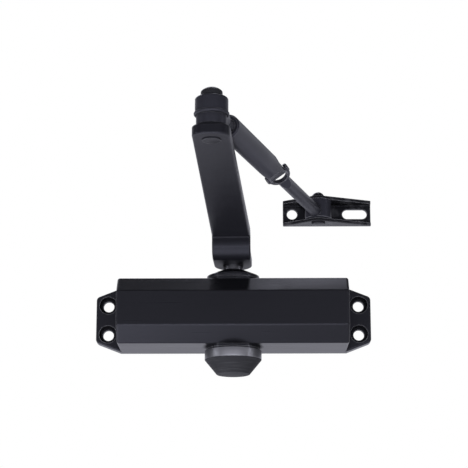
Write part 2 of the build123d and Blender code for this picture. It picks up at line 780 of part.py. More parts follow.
# Forearm sleeve: a threaded tube whose far end is flattened to a tongue
clevis_plane = Plane(forearm_origin, forearm_direction, clevis_direction)
fork_plane = Plane(forearm_origin, forearm_direction, fork_normal)
forearm_cross = Plane(forearm_origin, z_dir=forearm_direction)
tongue_end = clevis_place + tongue_thickness / 2
tongue_start = clevis_place - fork_ear_radius - fork_gap
tongue_half = sleeve_radius - tongue_flat
flat_start = clevis_place - tongue_flat_reach
with BuildPart() as forearm_sleeve:
    with BuildSketch(forearm_cross.offset(sleeve_start)):
        Circle(sleeve_radius)
    extrude(amount=tongue_end - sleeve_start)
    chamfer(forearm_sleeve.edges().sort_by(forearm_axis)[0], sleeve_chamfer)
    with BuildSketch(clevis_plane):
        with BuildLine():
            Polyline(
                (clevis_place, tongue_thickness / 2),
                (tongue_start, tongue_thickness / 2),
                (tongue_start - tongue_taper, sleeve_radius),
                (sleeve_start, sleeve_radius),
                (sleeve_start, -sleeve_radius),
                (tongue_start - tongue_taper, -sleeve_radius),
                (tongue_start, -tongue_thickness / 2),
                (clevis_place, -tongue_thickness / 2),
            )
            ThreePointArc(
                (clevis_place, -tongue_thickness / 2),
                (tongue_end, 0),
                (clevis_place, tongue_thickness / 2),
            )
        make_face()
    extrude(amount=sleeve_radius, both=True, mode=Mode.INTERSECT)
    with BuildSketch(fork_plane) as tongue_plan:
        with BuildLine():
            Polyline(
                (sleeve_start, sleeve_radius),
                (flat_start - tongue_flat_taper, sleeve_radius),
                (flat_start, tongue_half),
                (tongue_end, tongue_half),
                (tongue_end, -tongue_half),
                (flat_start, -tongue_half),
                (flat_start - tongue_flat_taper, -sleeve_radius),
                (sleeve_start, -sleeve_radius),
                close=True,
            )
        make_face()
        fillet(tongue_plan.vertices().sort_by(Axis.X)[-2:], tongue_corner)
    extrude(amount=sleeve_radius, both=True, mode=Mode.INTERSECT)
    with BuildSketch(forearm_cross.offset(sleeve_start)):
        Circle(stud_radius + running_gap)
    extrude(amount=sleeve_bore_depth, mode=Mode.SUBTRACT)
    with BuildSketch(clevis_plane):
        with Locations((clevis_place, 0)):
            Circle(clevis_pin_radius + pin_gap)
    extrude(amount=sleeve_radius, both=True, mode=Mode.SUBTRACT)
finish(forearm_sleeve, "forearm_sleeve")

# Forearm rod: a round rod, flattened to a wishbone fork at one end, with an upright eye at the other
fork_inner = tongue_half + fork_gap
fork_outer = fork_inner + fork_strap
fork_reach = fork_crotch + fork_strap
rod_start = clevis_place + fork_crotch + fork_strap / 4
rod_eye_bottom = bracket_middle - bracket_height / 2 + bracket_plate + bracket_eye_gap
rod_eye_top = bracket_middle + bracket_height / 2 - bracket_plate - bracket_eye_gap
with BuildPart() as forearm_rod:
    with BuildSketch(forearm_cross.offset(rod_start)):
        Circle(rod_radius)
    extrude(amount=forearm_length - rod_start)
    rod_side = [
        (rod_start, fork_width / 2),
        (rod_start + rod_taper, rod_radius),
        (forearm_length, rod_radius),
        (forearm_length, -rod_radius),
        (rod_start + rod_taper, -rod_radius),
        (rod_start, -fork_width / 2),
    ]
    extrude(outline(clevis_plane, rod_side), amount=rod_radius, both=True, mode=Mode.INTERSECT)
    with BuildSketch(fork_plane):
        with Locations((clevis_place, 0)):
            Ellipse(fork_reach, fork_outer)
            Ellipse(fork_crotch, fork_inner, mode=Mode.SUBTRACT)
        with Locations((clevis_place - fork_reach, 0)):
            Rectangle(2 * fork_reach, 4 * fork_outer, mode=Mode.SUBTRACT)
    extrude(amount=fork_width / 2, both=True)
    for side in (-1, 1):
        with BuildSketch(clevis_plane.offset(side * fork_inner)):
            with Locations((clevis_place, 0)):
                Circle(fork_ear_radius)
        extrude(amount=side * fork_strap)
    with BuildSketch(clevis_plane):
        with Locations((clevis_place, 0)):
            Circle(clevis_pin_radius + press_gap)
    extrude(amount=fork_outer, both=True, mode=Mode.SUBTRACT)
    with BuildSketch(Plane(pivot + Vector(0, 0, rod_eye_bottom))):
        Circle(rod_eye_radius)
    extrude(amount=rod_eye_top - rod_eye_bottom)
    with BuildSketch(Plane(pivot + Vector(0, 0, rod_eye_bottom))):
        Circle(rivet_radius + pin_gap)
    extrude(amount=rod_eye_top - rod_eye_bottom, mode=Mode.SUBTRACT)
finish(forearm_rod, "forearm_rod")

with BuildPart() as clevis_pin:
    with BuildSketch(clevis_plane):
        with Locations((clevis_place, 0)):
            Circle(clevis_pin_radius)
    extrude(amount=fork_outer, both=True)
    for side in (-1, 1):
        with BuildSketch(clevis_plane.offset(side * fork_outer)):
            with Locations((clevis_place, 0)):
                Circle(clevis_head_radius)
        extrude(amount=side * clevis_head_height)
    clevis_ends = clevis_pin.faces().sort_by(Axis(forearm_origin, clevis_direction))
    fillet([clevis_ends[0].edge(), clevis_ends[-1].edge()], clevis_head_round)
finish(clevis_pin, "clevis_pin")

# Bracket: a folded channel with a round hole and a slot, and its rivet
bracket_bottom = bracket_middle - bracket_height / 2
bracket_top = bracket_middle + bracket_height / 2
bracket_back = bracket_setback + bracket_plate
bracket_flange_depth = bracket_plate + bracket_side_depth
bracket_span = bracket_left + bracket_right
bracket_offset = (bracket_right - bracket_left) / 2
with BuildPart() as bracket:
    with BuildSketch(Plane(pivot + Vector(0, 0, bracket_bottom))) as flange:
        Circle(bracket_nose_radius)
        with Locations((bracket_offset, bracket_back - bracket_flange_depth / 2)):
            Rectangle(bracket_span, bracket_flange_depth)
        make_hull(flange.edges())
    extrude(amount=bracket_height)
    back_edges = bracket.edges().filter_by(Axis.X).sort_by(Axis.Y)[-2:]
    fillet(back_edges, bracket_fold + bracket_plate)
    channel_front = -bracket_nose_radius
    with BuildSketch(Plane(pivot + Vector(0, 0, bracket_bottom + bracket_plate))):
        with Locations((bracket_offset, (bracket_setback + channel_front) / 2)):
            Rectangle(bracket_span, bracket_setback - channel_front)
    extrude(amount=bracket_height - 2 * bracket_plate, mode=Mode.SUBTRACT)
    plate_front = pivot.Y + bracket_setback
    fold_edges = bracket.edges().filter_by(Axis.X).filter_by_position(Axis.Y, plate_front, plate_front)
    fillet(fold_edges, bracket_fold)
    flange_edges = bracket.edges().filter_by_position(Axis.Z, bracket_top, bracket_top)
    flange_edges += bracket.edges().filter_by_position(Axis.Z, bracket_bottom, bracket_bottom)
    fillet(flange_edges.filter_by_position(Axis.Y, pivot.Y - bracket_nose_radius, plate_front), bracket_edge_round)
    plate_plane = Plane(pivot + Vector(0, bracket_back, bracket_middle), (1, 0, 0), (0, -1, 0))
    with BuildSketch(plate_plane):
        with Locations((bracket_hole_place, 0)):
            Circle(bracket_hole_diameter / 2)
        with Locations((bracket_slot_place, 0)):
            SlotOverall(bracket_slot_length, bracket_slot_width)
    extrude(amount=bracket_plate, mode=Mode.SUBTRACT)
    with BuildSketch(Plane(pivot + Vector(0, 0, bracket_bottom))):
        Circle(rivet_radius + press_gap)
    extrude(amount=bracket_height, mode=Mode.SUBTRACT)
finish(bracket, "bracket")

with BuildPart() as bracket_rivet:
    with BuildSketch(upright_section(pivot)):
        with BuildLine():
            Polyline(
                (0, bracket_top + rivet_dome_height),
                (0, bracket_bottom - rivet_peen_height),
                (rivet_head_radius, bracket_bottom - rivet_peen_height),
                (rivet_head_radius, bracket_bottom),
                (rivet_radius, bracket_bottom),
                (rivet_radius, bracket_top),
                (rivet_head_radius, bracket_top),
            )
            TangentArc(
                (0, bracket_top + rivet_dome_height),
                (rivet_head_radius, bracket_top),
                tangent=(1, 0),
            )
        make_face()
    revolve(axis=pivot_axis)
finish(bracket_rivet, "bracket_rivet")
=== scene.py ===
"""Looks of a surface-mounted door closer: finishes, finer pieces, stage, lamps and camera.

Every piece is in metres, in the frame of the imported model: X along the body, Y into the door,
Z up.
"""

import json
from math import cos, radians, tan

import bmesh
import bpy
from bpy.props import FloatProperty, FloatVectorProperty, PointerProperty
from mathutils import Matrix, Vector

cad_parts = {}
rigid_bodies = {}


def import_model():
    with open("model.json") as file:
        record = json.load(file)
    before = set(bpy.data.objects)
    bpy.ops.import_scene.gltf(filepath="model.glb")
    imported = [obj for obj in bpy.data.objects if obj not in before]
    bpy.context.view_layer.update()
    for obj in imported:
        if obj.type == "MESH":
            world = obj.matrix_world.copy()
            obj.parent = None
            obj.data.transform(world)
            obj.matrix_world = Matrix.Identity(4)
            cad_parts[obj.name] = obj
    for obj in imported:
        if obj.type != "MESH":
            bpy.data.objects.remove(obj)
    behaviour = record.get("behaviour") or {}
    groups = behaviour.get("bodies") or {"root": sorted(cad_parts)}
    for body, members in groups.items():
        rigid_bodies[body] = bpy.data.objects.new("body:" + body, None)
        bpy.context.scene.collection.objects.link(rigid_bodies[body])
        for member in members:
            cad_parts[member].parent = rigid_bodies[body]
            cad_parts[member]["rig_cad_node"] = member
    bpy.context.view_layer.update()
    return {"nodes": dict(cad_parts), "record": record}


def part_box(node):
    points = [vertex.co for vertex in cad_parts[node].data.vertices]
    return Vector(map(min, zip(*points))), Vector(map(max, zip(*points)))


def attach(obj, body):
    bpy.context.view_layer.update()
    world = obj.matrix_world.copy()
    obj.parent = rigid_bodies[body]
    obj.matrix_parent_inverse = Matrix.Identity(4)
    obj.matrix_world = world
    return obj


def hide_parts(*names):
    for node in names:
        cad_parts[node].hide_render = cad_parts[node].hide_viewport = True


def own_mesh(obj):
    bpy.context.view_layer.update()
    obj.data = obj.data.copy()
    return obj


bl_info = {
    "name": "Door closer",
    "version": (1, 0, 0),
    "blender": (4, 5, 0),
    "location": "3D View > Sidebar > Closer",
    "description": "Finishes, finer pieces and stage of a surface-mounted door closer",
    "category": "Object",
}

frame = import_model()

# Copies of CAD nodes: how near points join, and which angles are flat, sharp and smooth.
JOIN_DISTANCE = 1e-6
FLAT_ANGLE = radians(0.4)
SHARP_ANGLE = radians(35.0)
SMOOTH_ANGLE = radians(32.0)
COIL_SMOOTH_ANGLE = radians(40.0)
ROUNDING_SEGMENTS = 3
RIM_TILT = 0.3  # faces of the cover whose normals rise less than this make up its rim

# Arm screw: half the angle of one side of its hexagon, slope of its chamfer and finish.
HALF_SIDE = radians(30.0)
CHAMFER_SLOPE = tan(radians(60.0))
CHAMFER_SIDES = 64
SHANK_SIDES = 48
SCREW_SEGMENTS = 2
SCREW_SHARP_ANGLE = radians(25.0)
SCREW_SMOOTH_ANGLE = radians(22.0)

# Finishes: shares of the textures, and how far gloss and colour stray.
GRAIN_SHARE = 0.6
WAVE_SHARE = 0.4
EDGE_GAIN = 7.0
EDGE_SAMPLES = 6
RECESS_SAMPLES = 8
# Painted shade: colour deep in holes and corners is darkened to this share of the base.
RECESS_PAINTED_SHADE = 0.1
RECESS_ROUGHNESS = 0.5
PATCH_GAIN = 6.0
PAINT_UNEVENNESS = 0.06
PAINT_BUMP = 0.5
PAINT_TINT = (0.86, 0.87, 1.0, 1.0)
METAL_TEXTURE = {"Grain": 2200.0, "Wave": 140.0}
METAL_SHADE = 0.75
METAL_UNEVENNESS = 0.08
METAL_BUMP = 0.4
METAL_DEPTH = 0.00002
DRAWN = {"Wave": 900.0, "Along X": 0.02}
TURNED = {"Wave": 60.0, "Along Z": 30.0}

# Floor and surroundings. The levels are brightness, where 1 is white.
FLOOR_SIZE = 16.0
FLOOR_HEIGHT = -0.8
FLOOR_COLOUR = (0.82, 0.82, 0.82, 1.0)
FLOOR_ROUGHNESS = 0.9
FLOOR_SEEN = 0.82
FLOOR_MIRRORED = 0.65
CEILING_EDGES = (0.3, 0.6)
SIDE_EDGES = (0.6, 0.92)
WALL_LEVEL = 0.2
WHITE = (1.0, 1.0, 1.0)

# Lamps: name, property that holds the power, place, point that it is aimed at, and size.
LAMPS = (
    ("top_light", "top", (0.085, 0.14, 0.9), (0.085, -0.05, 0.0), (0.10, 0.4)),
    ("back_light", "back", (-0.3, 0.9, 0.9), (0.0, -0.1, 0.0), (0.8, 0.6)),
    ("front_light", "front", (0.0, -0.75, -0.22), (0.0, -0.05, 0.0), (1.0, 0.09)),
    ("left_light", "side", (-1.0, -0.35, 0.15), (-0.05, -0.05, 0.0), (0.1, 0.25)),
    ("right_light", "side", (1.0, -0.35, 0.15), (0.05, -0.05, 0.0), (0.1, 0.25)),
    ("under_light", "under", (-0.22, -0.2, -0.38), (-0.1, -0.05, 0.0), (0.8, 0.35)),
)

# Camera, as it was fitted to the outlines of the picture.
CAMERA_PLACE = (0.011523, -1.040507, -0.204087)
CAMERA_TURN = (radians(104.2086), 0.0, radians(0.6193))
SENSOR_WIDTH = 36.0


def colour(label, text, value):
    """Colour property with a name, a description and a default."""
    return FloatVectorProperty(
        name=label, description=text, default=value, size=3, min=0.0, max=1.0, subtype="COLOR"
    )


def length(label, text, value):
    """Length property with a name, a description and a default."""
    return FloatProperty(
        name=label, description=text, default=value, min=0.0, precision=5, subtype="DISTANCE"
    )


def power(label, text, value):
    """Lamp power property with a name, a description and a default."""
    return FloatProperty(name=label, description=text, default=value, min=0.0, subtype="POWER")


class CloserPaint(bpy.types.PropertyGroup):
    """Colours of the finishes."""

    body: colour("Body", "Powder coat of the casting", (0.0070, 0.0070, 0.0080))
    arm: colour("Arm", "Paint of the main arm", (0.0065, 0.0065, 0.0080))
    eye: colour("Eye", "Paint of the eye at the elbow", (0.019, 0.019, 0.023))
    forearm: colour("Forearm", "Paint of the sleeve and the rod", (0.016, 0.016, 0.020))
    bracket: colour("Bracket", "Gloss paint of the bracket", (0.008, 0.008, 0.009))
    hardware: colour("Hardware", "Black finish of rivet, screw and washers", (0.006, 0.006, 0.007))
    plastic: colour("Elbow cap", "Moulded plastic of the elbow's cap", (0.016, 0.016, 0.0165))
    cover: colour("Cover", "Moulded plastic of the spindle's cover", (0.022, 0.022, 0.023))
    rim: colour("Cover rim", "Turned dark band round the cover", (0.22, 0.22, 0.225))
    steel: colour("Steel", "Bare steel of the inner parts", (0.45, 0.45, 0.46))
    dark_steel: colour("Dark steel", "Oiled steel of the spindle", (0.10, 0.10, 0.105))
    bronze: colour("Bronze", "Bushes and regulating screws", (0.42, 0.27, 0.12))
    rubber: colour("Rubber", "Rings and seals", (0.012, 0.012, 0.012))


class CloserSize(bpy.types.PropertyGroup):
    """Rounding of edges and sizes of the arm's screw."""

    cap_edge: length("Cap edge", "Rounded edge of caps, plugs and cover", 0.0003)
    eye_edge: length("Eye edge", "Rounded edge of the eye", 0.0004)
    pin_edge: length("Pin edge", "Rounded edge of pin, washers and rivet", 0.0002)
    screw_head: length("Screw head", "Height of the arm screw's hexagon", 0.004)
    screw_shank: length("Screw shank", "Radius of the arm screw's shank", 0.00295)
    screw_chamfer: length("Screw chamfer", "How far the hexagon's corners are turned down", 0.0007)
    screw_edge: length("Screw edge", "Rounded edge of the arm screw", 0.00015)


class CloserLight(bpy.types.PropertyGroup):
    """Lamps, surroundings and lens."""

    world: FloatProperty(
        name="World", description="Soft light from all around", default=1.0, min=0.0
    )
    lamp: colour("Lamp colour", "Cool light of the lamps", (0.88, 0.885, 1.0))
    top: power("Top", "Power of the narrow lamp above", 0.8)
    back: power("Back", "Power of the soft lamp behind and above", 7.0)
    front: power("Front", "Power of the low strip in front", 3.8)
    side: power("Sides", "Power of the small lamp at each side", 1.1)
    under: power("Under", "Power of the wide lamp below", 3.4)
    lens: FloatProperty(
        name="Lens",
        description="Focal length of the camera",
        default=124.46,
        min=1.0,
        subtype="DISTANCE_CAMERA",
    )


def node_group(name, inputs, outputs):
    """Empty shader node group, with float inputs as name and default and float outputs as names."""
    group = bpy.data.node_groups.new(name, "ShaderNodeTree")
    for label, value in inputs:
        socket = group.interface.new_socket(label, in_out="INPUT", socket_type="NodeSocketFloat")
        socket.default_value = value
    for label in outputs:
        group.interface.new_socket(label, in_out="OUTPUT", socket_type="NodeSocketFloat")
    return group, group.nodes.new("NodeGroupInput"), group.nodes.new("NodeGroupOutput")


def feed(tree, value, socket):
    """Link a socket to another, or set it to a plain value."""
    if isinstance(value, bpy.types.NodeSocket):
        tree.links.new(value, socket)
    else:
        socket.default_value = value


def math_node(tree, operation, first, second=0.0):
    """Result of a math node whose inputs are sockets or numbers."""
    node = tree.nodes.new("ShaderNodeMath")
    node.operation = operation
    feed(tree, first, node.inputs[0])
    feed(tree, second, node.inputs[1])
    return node.outputs[0]


def vector_math(tree, operation, first, second):
    """Vector math node between two sockets."""
    node = tree.nodes.new("ShaderNodeVectorMath")
    node.operation = operation
    tree.links.new(first, node.inputs[0])
    tree.links.new(second, node.inputs[1])
    return node


def noise_node(tree, vector, scale, detail):
    """Noise on given coordinates, as a value around one half."""
    node = tree.nodes.new("ShaderNodeTexNoise")
    node.inputs["Detail"].default_value = detail
    tree.links.new(vector, node.inputs["Vector"])
    tree.links.new(scale, node.inputs["Scale"])
    return node.outputs["Fac"]


def clamped(tree, value):
    """Value kept between 0 and 1."""
    node = tree.nodes.new("ShaderNodeClamp")
    tree.links.new(value, node.inputs["Value"])
    return node.outputs["Result"]


def coat_texture():
    """Group: fine grain of a coat with slow waves, as a height, and the waves as a mask."""
    if "coat_texture" in bpy.data.node_groups:
        return bpy.data.node_groups["coat_texture"]
    group, given, result = node_group(
        "coat_texture",
        (("Grain", 900.0), ("Wave", 60.0), ("Along X", 1.0), ("Along Z", 1.0)),
        ("Height", "Cloud"),
    )
    drawn = group.nodes.new("ShaderNodeCombineXYZ")
    group.links.new(given.outputs["Along X"], drawn.inputs["X"])
    drawn.inputs["Y"].default_value = 1.0
    group.links.new(given.outputs["Along Z"], drawn.inputs["Z"])
    place = group.nodes.new("ShaderNodeTexCoord").outputs["Object"]
    streaks = vector_math(group, "MULTIPLY", place, drawn.outputs["Vector"]).outputs["Vector"]
    grain = noise_node(group, streaks, given.outputs["Grain"], detail=3.0)
    wave = noise_node(group, streaks, given.outputs["Wave"], detail=2.0)
    fine = math_node(group, "MULTIPLY", grain, GRAIN_SHARE)
    slow = math_node(group, "MULTIPLY", wave, WAVE_SHARE)
    group.links.new(math_node(group, "ADD", fine, slow), result.inputs["Height"])
    group.links.new(wave, result.inputs["Cloud"])
    return group


def worn_edges():
    """Group: mask that is 1 on outer edges, for a painted highlight along them."""
    if "worn_edges" in bpy.data.node_groups:
        return bpy.data.node_groups["worn_edges"]
    group, given, result = node_group(
        "worn_edges", (("Width", 0.0010), ("Breakup", 250.0)), ("Mask",)
    )
    place = group.nodes.new("ShaderNodeTexCoord").outputs["Object"]
    rounding = group.nodes.new("ShaderNodeBevel")
    rounding.samples = EDGE_SAMPLES
    group.links.new(given.outputs["Width"], rounding.inputs["Radius"])
    flat = group.nodes.new("ShaderNodeNewGeometry").outputs["Normal"]
    dot = vector_math(group, "DOT_PRODUCT", rounding.outputs["Normal"], flat).outputs["Value"]
    turned = math_node(group, "SUBTRACT", 1.0, dot)
    flecks = noise_node(group, place, given.outputs["Breakup"], detail=2.0)
    broken = math_node(group, "MULTIPLY", flecks, EDGE_GAIN)
    mask = clamped(group, math_node(group, "MULTIPLY", turned, broken))
    group.links.new(mask, result.inputs["Mask"])
    return group


def deep_recess():
    """Group: mask that is 1 deep in holes and corners, for painted shade there and a rougher coat."""
    if "deep_recess" in bpy.data.node_groups:
        return bpy.data.node_groups["deep_recess"]
    group, given, result = node_group(
        "deep_recess", (("Reach", 0.003), ("Strength", 2.2)), ("Mask",)
    )
    # The occlusion mask paints shade into the colour and makes the coat rougher there.
    openness = group.nodes.new("ShaderNodeAmbientOcclusion")
    openness.samples = RECESS_SAMPLES
    openness.only_local = True
    group.links.new(given.outputs["Reach"], openness.inputs["Distance"])
    hidden = math_node(group, "SUBTRACT", 1.0, openness.outputs["AO"])
    mask = clamped(group, math_node(group, "MULTIPLY", hidden, given.outputs["Strength"]))
    group.links.new(mask, result.inputs["Mask"])
    return group


def placed_group(tree, group, **values):
    """Group node in a material, with its own input values."""
    node = tree.nodes.new("ShaderNodeGroup")
    node.node_tree = group
    for label, value in values.items():
        node.inputs[label].default_value = value
    return node


def start_material(name):
    """New material, its node tree and its Principled shader."""
    material = bpy.data.materials.new(name)
    material.use_nodes = True
    return material, material.node_tree, material.node_tree.nodes["Principled BSDF"]


def mixed_colour(tree, mask, first, second):
    """Mix by a mask of two colours, the first a socket or plain and the second plain."""
    mix = tree.nodes.new("ShaderNodeMix")
    mix.data_type = "RGBA"
    tree.links.new(mask, mix.inputs["Factor"])
    feed(tree, first if isinstance(first, bpy.types.NodeSocket) else (*first, 1.0), mix.inputs["A"])
    mix.inputs["B"].default_value = (*second, 1.0)
    return mix.outputs["Result"]


def spread(tree, value, low, high):
    """Value from 0..1 spread to low..high."""
    node = tree.nodes.new("ShaderNodeMapRange")
    node.inputs["To Min"].default_value = low
    node.inputs["To Max"].default_value = high
    tree.links.new(value, node.inputs["Value"])
    return node.outputs["Result"]


def bump(tree, height, distance, strength, shader):
    """Bump node between a height and the shader's normal."""
    node = tree.nodes.new("ShaderNodeBump")
    node.inputs["Distance"].default_value = distance
    node.inputs["Strength"].default_value = strength
    tree.links.new(height, node.inputs["Height"])
    tree.links.new(node.outputs["Normal"], shader.inputs["Normal"])


def paint(name, base, gloss, grain, depth, edge=0.05, shine=0.15, glint_mottle=0.0, **texture):
    """Sprayed paint, black finish, plastic or rubber.

    gloss is the middle roughness, grain and depth are the scale and height of the texture. edge
    says how much lighter the painted highlight along edges is, and the mottling amount how much
    lighter the painted glint patches are. shine is the specular level. Other values go to the coat's
    texture.
    """
    material, tree, shader = start_material(name)
    coat = placed_group(tree, coat_texture(), Grain=grain, **texture)
    edges = placed_group(tree, worn_edges()).outputs["Mask"]
    shade_and_dull_mask = placed_group(tree, deep_recess()).outputs["Mask"]
    uneven = math_node(tree, "SUBTRACT", coat.outputs["Cloud"], 0.5)
    patches = math_node(tree, "MULTIPLY", uneven, PATCH_GAIN)
    # Painted glints: random patches are lightened by the mottling amount.
    coated = mixed_colour(tree, patches, base, [channel + glint_mottle for channel in base])
    # Painted highlight: outer edges are lightened by the edge amount.
    edge_lit = mixed_colour(tree, edges, coated, [channel + edge for channel in base])
    # Painted shade: the colour is darkened deep in holes and corners by the occlusion mask.
    shaded = mixed_colour(tree, shade_and_dull_mask, edge_lit, [channel * RECESS_PAINTED_SHADE for channel in base])
    tree.links.new(shaded, shader.inputs["Base Color"])
    low, high = gloss - PAINT_UNEVENNESS, gloss + PAINT_UNEVENNESS
    dulled = math_node(tree, "MULTIPLY", shade_and_dull_mask, RECESS_ROUGHNESS)
    rough = math_node(tree, "ADD", spread(tree, coat.outputs["Cloud"], low, high), dulled)
    tree.links.new(rough, shader.inputs["Roughness"])
    shader.inputs["Specular IOR Level"].default_value = shine
    shader.inputs["Specular Tint"].default_value = PAINT_TINT
    bump(tree, coat.outputs["Height"], depth, PAINT_BUMP, shader)
    return material


def metal(name, base, gloss, **texture):
    """Turned or ground metal with fine uneven gloss."""
    material, tree, shader = start_material(name)
    coat = placed_group(tree, coat_texture(), **{**METAL_TEXTURE, **texture})
    cloud = coat.outputs["Cloud"]
    darker = [channel * METAL_SHADE for channel in base]
    tree.links.new(mixed_colour(tree, cloud, darker, base), shader.inputs["Base Color"])
    low, high = gloss - METAL_UNEVENNESS, gloss + METAL_UNEVENNESS
    tree.links.new(spread(tree, cloud, low, high), shader.inputs["Roughness"])
    shader.inputs["Metallic"].default_value = 1.0
    bump(tree, coat.outputs["Height"], METAL_DEPTH, METAL_BUMP, shader)
    return material


def dress(piece, material):
    """Give a piece one material."""
    piece.data.materials.clear()
    piece.data.materials.append(material)


def finish_nodes(material, *names):
    """Give CAD nodes a material."""
    for name in names:
        dress(frame["nodes"][name], material)


def body_and_slot(name):
    """Body that carries a CAD node, and the material slot of its record."""
    record = frame["record"]
    bodies = record["behaviour"]["bodies"]
    body = next(body for body, members in bodies.items() if name in members)
    slot = next(part["material_slot"] for part in record["subparts"] if part["node"] == name)
    return body, slot


def take_part(piece, name, material):
    """Finish a piece, which then stands for a CAD node and moves as the node does."""
    body, slot = body_and_slot(name)
    dress(piece, material)
    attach(piece, body)
    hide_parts(name)


def merged_copy(name, suffix):
    """Copy of a CAD node with its faces joined, left in edit mode with everything selected."""
    bpy.ops.object.select_all(action="DESELECT")
    source = frame["nodes"][name]
    source.select_set(True)
    bpy.context.view_layer.objects.active = source
    bpy.ops.object.duplicate()
    piece = bpy.context.object
    piece.name = name + suffix
    del piece["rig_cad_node"]
    bpy.ops.object.mode_set(mode="EDIT")
    bpy.ops.mesh.select_mode(type="EDGE")
    bpy.ops.mesh.select_all(action="SELECT")
    bpy.ops.mesh.remove_doubles(threshold=JOIN_DISTANCE)
    bpy.ops.mesh.customdata_custom_splitnormals_clear()
    return piece


def rounded(name, material, edge):
    """Copy of a CAD node with its sharp edges rounded, which stands for the node."""
    piece = merged_copy(name, "_rounded")
    bpy.ops.mesh.dissolve_limited(angle_limit=FLAT_ANGLE)
    bpy.ops.mesh.select_all(action="DESELECT")
    shape = bmesh.from_edit_mesh(piece.data)
    for line in shape.edges:
        line.select_set(line.is_convex and line.calc_face_angle() > SHARP_ANGLE)
    bmesh.update_edit_mesh(piece.data)
    bpy.ops.mesh.bevel(
        offset=edge, segments=ROUNDING_SEGMENTS, affect="EDGES", clamp_overlap=False
    )
    bpy.ops.object.mode_set(mode="OBJECT")
    bpy.ops.object.shade_smooth_by_angle(angle=SMOOTH_ANGLE)
    take_part(piece, name, material)
    return piece


def spring_coil(material):
    """Closing spring that the piston shortens towards its end at the plug."""
    name = "closing_spring"
    coil = merged_copy(name, "_coil")
    bpy.ops.object.mode_set(mode="OBJECT")
    bpy.ops.object.shade_smooth_by_angle(angle=COIL_SMOOTH_ANGLE)
    take_part(coil, name, material)
    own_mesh(coil)


def combine(piece, tool, operation):
    """Apply a boolean of a piece with a tool, and remove the tool."""
    bpy.context.view_layer.objects.active = piece
    cut = piece.modifiers.new("cut", "BOOLEAN")
    cut.operation = operation
    cut.object = tool
    bpy.ops.object.modifier_apply(modifier=cut.name)
    bpy.data.objects.remove(tool)


def hexagon_screw(size):
    """Screw with a chamfered hexagon head and a round shank, in the place of the CAD screw."""
    low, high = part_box("arm_screw")
    axis = [(a + b) / 2 for a, b in zip(low[:2], high[:2])]
    corner_radius = (high[1] - low[1]) / 2 / cos(HALF_SIDE)
    bpy.ops.object.select_all(action="DESELECT")
    bpy.ops.mesh.primitive_cylinder_add(
        vertices=6,
        radius=corner_radius,
        depth=size.screw_head,
        location=(*axis, high[2] - size.screw_head / 2),
        rotation=(0, 0, HALF_SIDE),
    )
    screw = bpy.context.object
    screw.name = "arm_screw_hexagon"
    bpy.ops.object.transform_apply(location=True, rotation=True, scale=True)
    cone_depth = 2 * size.screw_head
    top_radius = corner_radius - size.screw_chamfer * CHAMFER_SLOPE
    bpy.ops.mesh.primitive_cone_add(
        vertices=CHAMFER_SIDES,
        radius1=top_radius + cone_depth * CHAMFER_SLOPE,
        radius2=top_radius,
        depth=cone_depth,
        location=(*axis, high[2] - cone_depth / 2),
    )
    combine(screw, bpy.context.object, "INTERSECT")
    shank_length = high[2] - low[2] - size.screw_head / 2
    bpy.ops.mesh.primitive_cylinder_add(
        vertices=SHANK_SIDES,
        radius=size.screw_shank,
        depth=shank_length,
        location=(*axis, low[2] + shank_length / 2),
    )
    combine(screw, bpy.context.object, "UNION")
    rounding = screw.modifiers.new("rounding", "BEVEL")
    rounding.width = size.screw_edge
    rounding.segments = SCREW_SEGMENTS
    rounding.angle_limit = SCREW_SHARP_ANGLE
    bpy.ops.object.modifier_apply(modifier=rounding.name)
    bpy.ops.object.select_all(action="DESELECT")
    screw.select_set(True)
    bpy.ops.object.shade_smooth_by_angle(angle=SCREW_SMOOTH_ANGLE)
    return screw


class CLOSER_OT_casting(bpy.types.Operator):
    """Powder coat on the casting, its bearing caps and end plugs"""

    bl_idname = "closer.casting"
    bl_label = "Coat the casting"

    def execute(self, context):
        base = context.scene.closer_paint.body
        coat = paint(
            "powder_coat", base, gloss=0.30, grain=1100.0, depth=0.00004, edge=0.12, **DRAWN
        )
        for name in ("upper_bearing_cap", "end_plug_left", "end_plug_right"):
            rounded(name, coat, context.scene.closer_size.cap_edge)
        finish_nodes(coat, "body_casting", "lower_bearing_cap")
        return {"FINISHED"}


class CLOSER_OT_arms(bpy.types.Operator):
    """Satin paint on the main arm, the eye and the forearm"""

    bl_idname = "closer.arms"
    bl_label = "Paint the arms"

    def execute(self, context):
        colours = context.scene.closer_paint
        satin = {"gloss": 0.38, "depth": 0.00003, "edge": 0.14}
        finish_nodes(paint("arm_paint", colours.arm, grain=1300.0, **satin), "main_arm")
        eye_coat = paint("eye_paint", colours.eye, grain=1300.0, **satin)
        rounded("elbow_eye", eye_coat, context.scene.closer_size.eye_edge)
        forearm_coat = paint("forearm_paint", colours.forearm, grain=1500.0, **satin)
        finish_nodes(forearm_coat, "forearm_sleeve", "forearm_rod")
        return {"FINISHED"}


class CLOSER_OT_bracket(bpy.types.Operator):
    """Gloss paint on the channel bracket"""

    bl_idname = "closer.bracket"
    bl_label = "Paint the bracket"

    def execute(self, context):
        # The bracket's lighter random patches are painted glints on its gloss.
        coat = paint(
            "bracket_gloss",
            context.scene.closer_paint.bracket,
            gloss=0.18,
            grain=250.0,
            depth=0.0003,
            edge=0.14,
            shine=0.06,
            glint_mottle=0.030,
            Wave=170.0,
        )
        finish_nodes(coat, "bracket")
        return {"FINISHED"}


